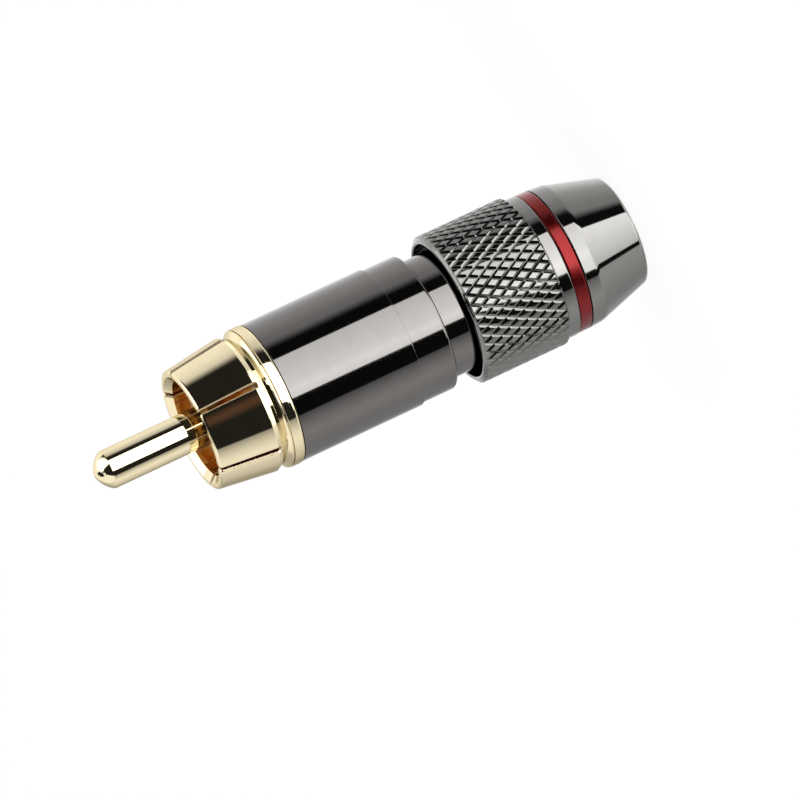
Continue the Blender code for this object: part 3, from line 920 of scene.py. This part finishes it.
def makeCollet():
    size = colletSize
    path = supported(rounded([
        (size["bore"], size["taperLow"], 0.03),
        (size["taperLowRadius"], size["taperLow"], 0.05),
        (size["taperTopRadius"], size["taperTop"], 0.03),
        (size["headRadius"], size["taperTop"] + size["headStep"], 0.05),
        (size["headRadius"], size["headHigh"], 0.12),
        (size["sleeveRadius"], size["headHigh"], 0.08),
        (size["sleeveRadius"], size["sleeveHigh"], 0.12),
        (size["bore"], size["sleeveHigh"], 0.12),
    ]))
    collet = turned("cableCollet", path, "colletPlastic", columns=144)
    # each cutter saws two slots that lie opposite each other
    half, reach = size["slotWidth"] / 2, 2 * size["headRadius"]
    low, high = (-half, -reach, size["taperLow"] - past), (half, reach, size["slotHigh"])
    cutters = []
    for number in range(size["slots"] // 2):
        turn = math.pi * (number + size["slotStart"]) / (size["slots"] // 2) + math.pi / 2
        cutters.append(block(f"slotCut{number}", low, high, turn, "colletPlastic"))
    carve(collet, cutters)
    install(collet, "cable_collet", "collet")


makeCollet()


# front insulator

insulatorSize = {
    "bore": 1.66, "hubLow": 29.647, "hubRadius": 3.24, "low": 32.247, "high": 33.297, "radius": 4.34,
    "recessRadius": 2.5, "recessDepth": 0.25, "recessSlope": 0.1,
}


def makeInsulator():
    size = insulatorSize
    path = supported(rounded([
        (size["bore"], size["hubLow"], 0.05),
        (size["hubRadius"], size["hubLow"], 0.08),
        (size["hubRadius"], size["low"], 0.03),
        (size["radius"], size["low"], 0.08),
        (size["radius"], size["high"], 0.12),
        (size["recessRadius"], size["high"], 0.08),
        (size["recessRadius"] - size["recessSlope"], size["high"] - size["recessDepth"], 0.06),
        (size["bore"], size["high"] - size["recessDepth"], 0.03),
    ]))
    insulator = turned("frontInsulator", path, "insulatorPlastic", columns=128)
    install(insulator, "front_insulator", "contacts")


makeInsulator()

# the pieces inside the barrel keep their solids and take these finishes
insideFinishes = {
    "rear_insulator": "insulatorPlastic", "insulating_liner": "linerPlastic", "ground_lug": "goldPlate",
}
for nodeName, finishName in insideFinishes.items():
    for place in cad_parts[nodeName].material_slots:
        place.material = finishes[finishName]
report("collet and insulators")


# camera, at the photograph's angle

cameraSet = {
    "azimuth": -70.9, "tilt": 14.25, "roll": 25.12,    # degrees
    "distance": 977.0, "scale": 12.676,                # mm, and pixels per mm at the aim point
    "aimHeight": 24.34, "aimPixel": (351.46, 355.75),
    "sensor": 36.0, "pixels": 800, "clip": (0.01, 10.0),    # the clip distances are in metres
}


def makeCamera():
    size = cameraSet
    azimuth, tilt, roll = (math.radians(size[key]) for key in ("azimuth", "tilt", "roll"))
    back = Vector((math.cos(tilt) * math.cos(azimuth), math.cos(tilt) * math.sin(azimuth), math.sin(tilt)))
    level = Vector((-math.sin(azimuth), math.cos(azimuth), 0.0))
    upright = back.cross(level)
    right = level * -math.sin(roll) - upright * math.cos(roll)
    up = level * math.cos(roll) - upright * math.sin(roll)
    half = size["pixels"] / 2
    across = (size["aimPixel"][0] - half) / size["scale"]
    above = (half - size["aimPixel"][1]) / size["scale"]
    place = Vector((0.0, 0.0, size["aimHeight"])) - right * across - up * above + back * size["distance"]
    data = bpy.data.cameras.new("camera")
    data.sensor_width = size["sensor"]
    data.lens = size["scale"] * size["distance"] * size["sensor"] / size["pixels"]
    data.clip_start, data.clip_end = size["clip"]
    camera = bpy.data.objects.new("camera", data)
    turn = Matrix((right, up, back)).transposed().to_4x4()
    camera.matrix_world = Matrix.Translation(place * mm) @ turn
    bpy.context.scene.collection.objects.link(camera)
    bpy.context.scene.camera = camera


makeCamera()


# studio, floor and lamp

studio = {
    # side is in degrees round the plug's axis from the camera, and rise in degrees towards the pin
    # brightness by side, level with the plug and from the tail's side
    "room": ((-180, 0.95), (-168, 0.76), (-156, 0.50), (-144, 0.48), (-128, 0.60), (-112, 0.68),
             (-96, 0.82), (-84, 0.86), (-72, 0.72), (-60, 0.50), (-54, 0.34), (66, 0.50), (88, 0.64),
             (104, 0.84), (128, 1.00), (152, 1.20)),
    "roomLow": ((-180, 1.10), (-160, 1.10), (-145, 0.80), (-130, 0.58), (-110, 0.66), (-80, 0.86),
                (-60, 0.95), (50, 0.60), (80, 0.66), (100, 0.82), (120, 1.00), (145, 1.70)),
    "softbox": ((-24, 3.1), (-9, 3.5), (1, 3.1), (12, 2.9), (24, 2.7), (44, 2.4)),
    "softboxLow": ((-48, 1.6), (-34, 1.9), (-20, 2.2), (0, 2.5), (16, 2.8), (44, 2.95)),
    "tailFade": (-18.0, -36.0),           # rise where the tail's side takes over
    "upFade": (28.0, 40.0),               # rise where the ceiling takes over
    "ceiling": 0.95,
    "edgeRise": -14.0,                    # rise at which the edges are given; slopes are over and under it
    "screen": (0.014, 0.014, 0.014),      # black cloth round the softbox
    "screenEdges": (-51.5, 72.0), "screenBlurs": (1.5, 9.0), "screenSlopes": (0.9, 0.36),
    "overheadEdges": (-56.0, 32.0), "overheadBlurs": (4.0, 3.0),
    # cloth over the plug, as parts of the direction from the camera's side
    "behindNear": (0.0, -0.06), "behindLeft": (-0.36, -0.28), "behindRight": (0.14, 0.10),
    "behindHigh": (0.90, 0.93),
    # pale card beyond the cloth, on the pin's side
    "reflector": 1.7, "reflectorEnd": (142.0, 134.0), "reflectorHigh": (0.56, 0.62),
    "softboxEdges": (-21.5, 45.0), "softboxBlur": 0.8, "softboxSlopes": (0.64, 2.0), "softboxLowest": -10.0,
    "softboxLean": 0.34, "softboxTop": -5.0, "softboxTopBlur": 1.0,
    "glow": (1.6, 2.9),                   # pale table seen in the faces that look at the tail
    "glowRise": (-50.0, -58.0), "glowEdge": (76.0, 66.0), "glowMiddle": (48.0, 36.0),
    "streak": (0.080, 0.043, 0.031),      # warm light through a gap in the cloth
    "streakEdge": 14.0, "streakTop": (10.0, 5.0), "streakLow": (-3.0, 0.0),
    "scale": 4.0,                         # the world's strength, by which its colours are divided
}


def grey(level):
    return (level / studio["scale"],) * 3


def aroundRamp(board, share, stops):
    shades = [((place + 180) / 360, grey(level)) for place, level in stops]
    return board.add("ShaderNodeValToRGB", {"stops": shades}, {"Fac": share})


def makeWorld():
    world = bpy.data.worlds.new("studio")
    bpy.context.scene.world = world
    world.use_nodes = True
    board = Board(world.node_tree)
    direction = board.add("ShaderNodeTexCoord", out=0)
    turn = math.radians(-cameraSet["azimuth"])
    spun = board.add("ShaderNodeVectorRotate", {"rotation_type": "Z_AXIS"},
                     {"Vector": direction, "Angle": turn})
    x, y, z = (board.add("ShaderNodeSeparateXYZ", None, {0: spun}, out=number) for number in range(3))
    degrees = 180 / math.pi
    side = board.math("ARCTAN2", y, x) * degrees
    rise = board.math("ARCSINE", z) * degrees
    overEdges = rise - studio["edgeRise"]
    below = board.math("MINIMUM", overEdges, 0.0)
    above = board.math("MAXIMUM", overEdges, 0.0)
    share = (side + 180.0) / 360.0

    def colour(name):
        return tuple(part / studio["scale"] for part in studio[name])

    def fade(value, name):
        # from none at the first number to all at the second
        return board.ease(value, *studio[name])

    tailwards = fade(rise, "tailFade")
    room = board.blend(tailwards, aroundRamp(board, share, studio["room"]),
                       aroundRamp(board, share, studio["roomLow"]))
    lowEdge, highEdge = studio["screenEdges"]
    lowBlur, highBlur = studio["screenBlurs"]
    slopeAbove, slopeBelow = studio["screenSlopes"]
    highEdge = highEdge + slopeAbove * above + slopeBelow * below
    screen = board.edge(side, lowEdge, lowBlur) * board.edge(highEdge - side, 0.0, highBlur)
    lowOver, highOver = studio["overheadEdges"]
    lowBlur, highBlur = studio["overheadBlurs"]
    overhead = board.edge(side, lowOver, lowBlur) * board.edge(side, highOver, -highBlur)
    behind = fade(x, "behindNear") * fade(y, "behindLeft") * fade(y, "behindRight") * fade(z, "behindHigh")
    overhead = board.math("MAXIMUM", overhead, behind)
    upwards = fade(rise, "upFade")
    screen = screen * (1.0 - upwards) + overhead * upwards
    reflector = board.edge(side, highOver, highBlur) * fade(side, "reflectorEnd") * fade(z, "reflectorHigh")
    room = board.blend(upwards, room, grey(studio["ceiling"]))

    lowLight, highLight = studio["softboxEdges"]
    slopeAbove, slopeBelow = studio["softboxSlopes"]
    below = board.math("MAXIMUM", below, studio["softboxLowest"])
    lowLight = lowLight + slopeAbove * above + slopeBelow * below
    highLight = highLight + studio["softboxLean"] * overEdges
    blur = studio["softboxBlur"]
    light = board.edge(side - lowLight, 0.0, blur) * board.edge(highLight - side, 0.0, blur)
    light = light * board.edge(rise, studio["softboxTop"], -studio["softboxTopBlur"])
    softbox = board.blend(tailwards, aroundRamp(board, share, studio["softbox"]),
                          aroundRamp(board, share, studio["softboxLow"]))
    reach = studio["streakEdge"]
    streak = board.ease(side, -reach, 0.0) * board.ease(side, reach, 0.0)
    streak = streak * fade(rise, "streakTop") * fade(rise, "streakLow")
    offset = board.math("ABSOLUTE", side)
    glow = fade(rise, "glowRise") * fade(offset, "glowEdge")
    sideGlow, middleGlow = studio["glow"]
    glowShade = board.blend(fade(offset, "glowMiddle"), grey(sideGlow), grey(middleGlow))

    shade = board.blend(screen, room, colour("screen"))
    shade = board.blend(streak, shade, colour("streak"))
    shade = board.blend(reflector, shade, grey(studio["reflector"]))
    shade = board.blend(light, shade, softbox)
    shade = board.blend(glow, shade, glowShade)
    isCamera = board.add("ShaderNodeLightPath")
    shade = board.blend(isCamera, shade, grey(1.0))
    background = board.add("ShaderNodeBackground", None, {"Color": shade, "Strength": studio["scale"]})
    board.add("ShaderNodeOutputWorld", None, {"Surface": background})


makeWorld()

floorSet = {"radius": 900.0, "drop": 0.02, "corners": 96, "pale": 0.90, "dim": 0.86, "cloud": 30.0,
            "white": 0.86, "glow": 1.05}


def floorFinish():
    # mostly plain white to the camera, with the plug's shadow, and not there in reflections
    finish, board, place = newFinish("paleFloor")
    cloud = board.noise(place, floorSet["cloud"])
    colour = board.blend(cloud, (floorSet["dim"],) * 3, (floorSet["pale"],) * 3)
    matt = board.add("ShaderNodeBsdfDiffuse", None, {"Color": colour})
    glow = board.add("ShaderNodeEmission", None, {"Color": (1.0, 1.0, 1.0), "Strength": floorSet["glow"]})
    isCamera = board.add("ShaderNodeLightPath")
    isGlossy = board.add("ShaderNodeLightPath", out=3)
    isTransmission = board.add("ShaderNodeLightPath", out=6)
    share = (isCamera + isTransmission) * floorSet["white"]
    seen = board.add("ShaderNodeMixShader", None, {0: share, 1: matt, 2: glow})
    clear = board.add("ShaderNodeBsdfTransparent")
    surface = board.add("ShaderNodeMixShader", None, {0: isGlossy, 1: seen, 2: clear})
    board.add("ShaderNodeOutputMaterial", None, {"Surface": surface})
    return finish


def makeFloor():
    radius, height, count = floorSet["radius"], -floorSet["drop"], floorSet["corners"]
    points = [(0.0, 0.0, height)]
    for step in range(count):
        angle = 2 * math.pi * step / count
        points.append((radius * math.cos(angle), radius * math.sin(angle), height))
    faces = [(0, 1 + step, 1 + (step + 1) % count) for step in range(count)]
    finishes["paleFloor"] = floorFinish()
    floor = meshObject("floor", points, faces, "paleFloor")


makeFloor()

lampSet = {"place": (-180.0, -260.0, 330.0), "aim": (0.0, 0.0, 20.0), "size": 260.0, "watts": 0.55}


def makeLamp():
    data = bpy.data.lights.new("key", "AREA")
    data.shape = "DISK"
    data.size = lampSet["size"] * mm
    data.energy = lampSet["watts"]
    lamp = bpy.data.objects.new("key", data)
    lamp.location = Vector(lampSet["place"]) * mm
    aim = Vector(lampSet["aim"]) * mm - lamp.location
    lamp.rotation_euler = aim.to_track_quat("-Z", "Y").to_euler()
    lamp.visible_camera = lamp.visible_glossy = False
    bpy.context.scene.collection.objects.link(lamp)


makeLamp()
bpy.context.scene.view_settings.view_transform = "Standard"
report("camera, studio, floor and lamp")
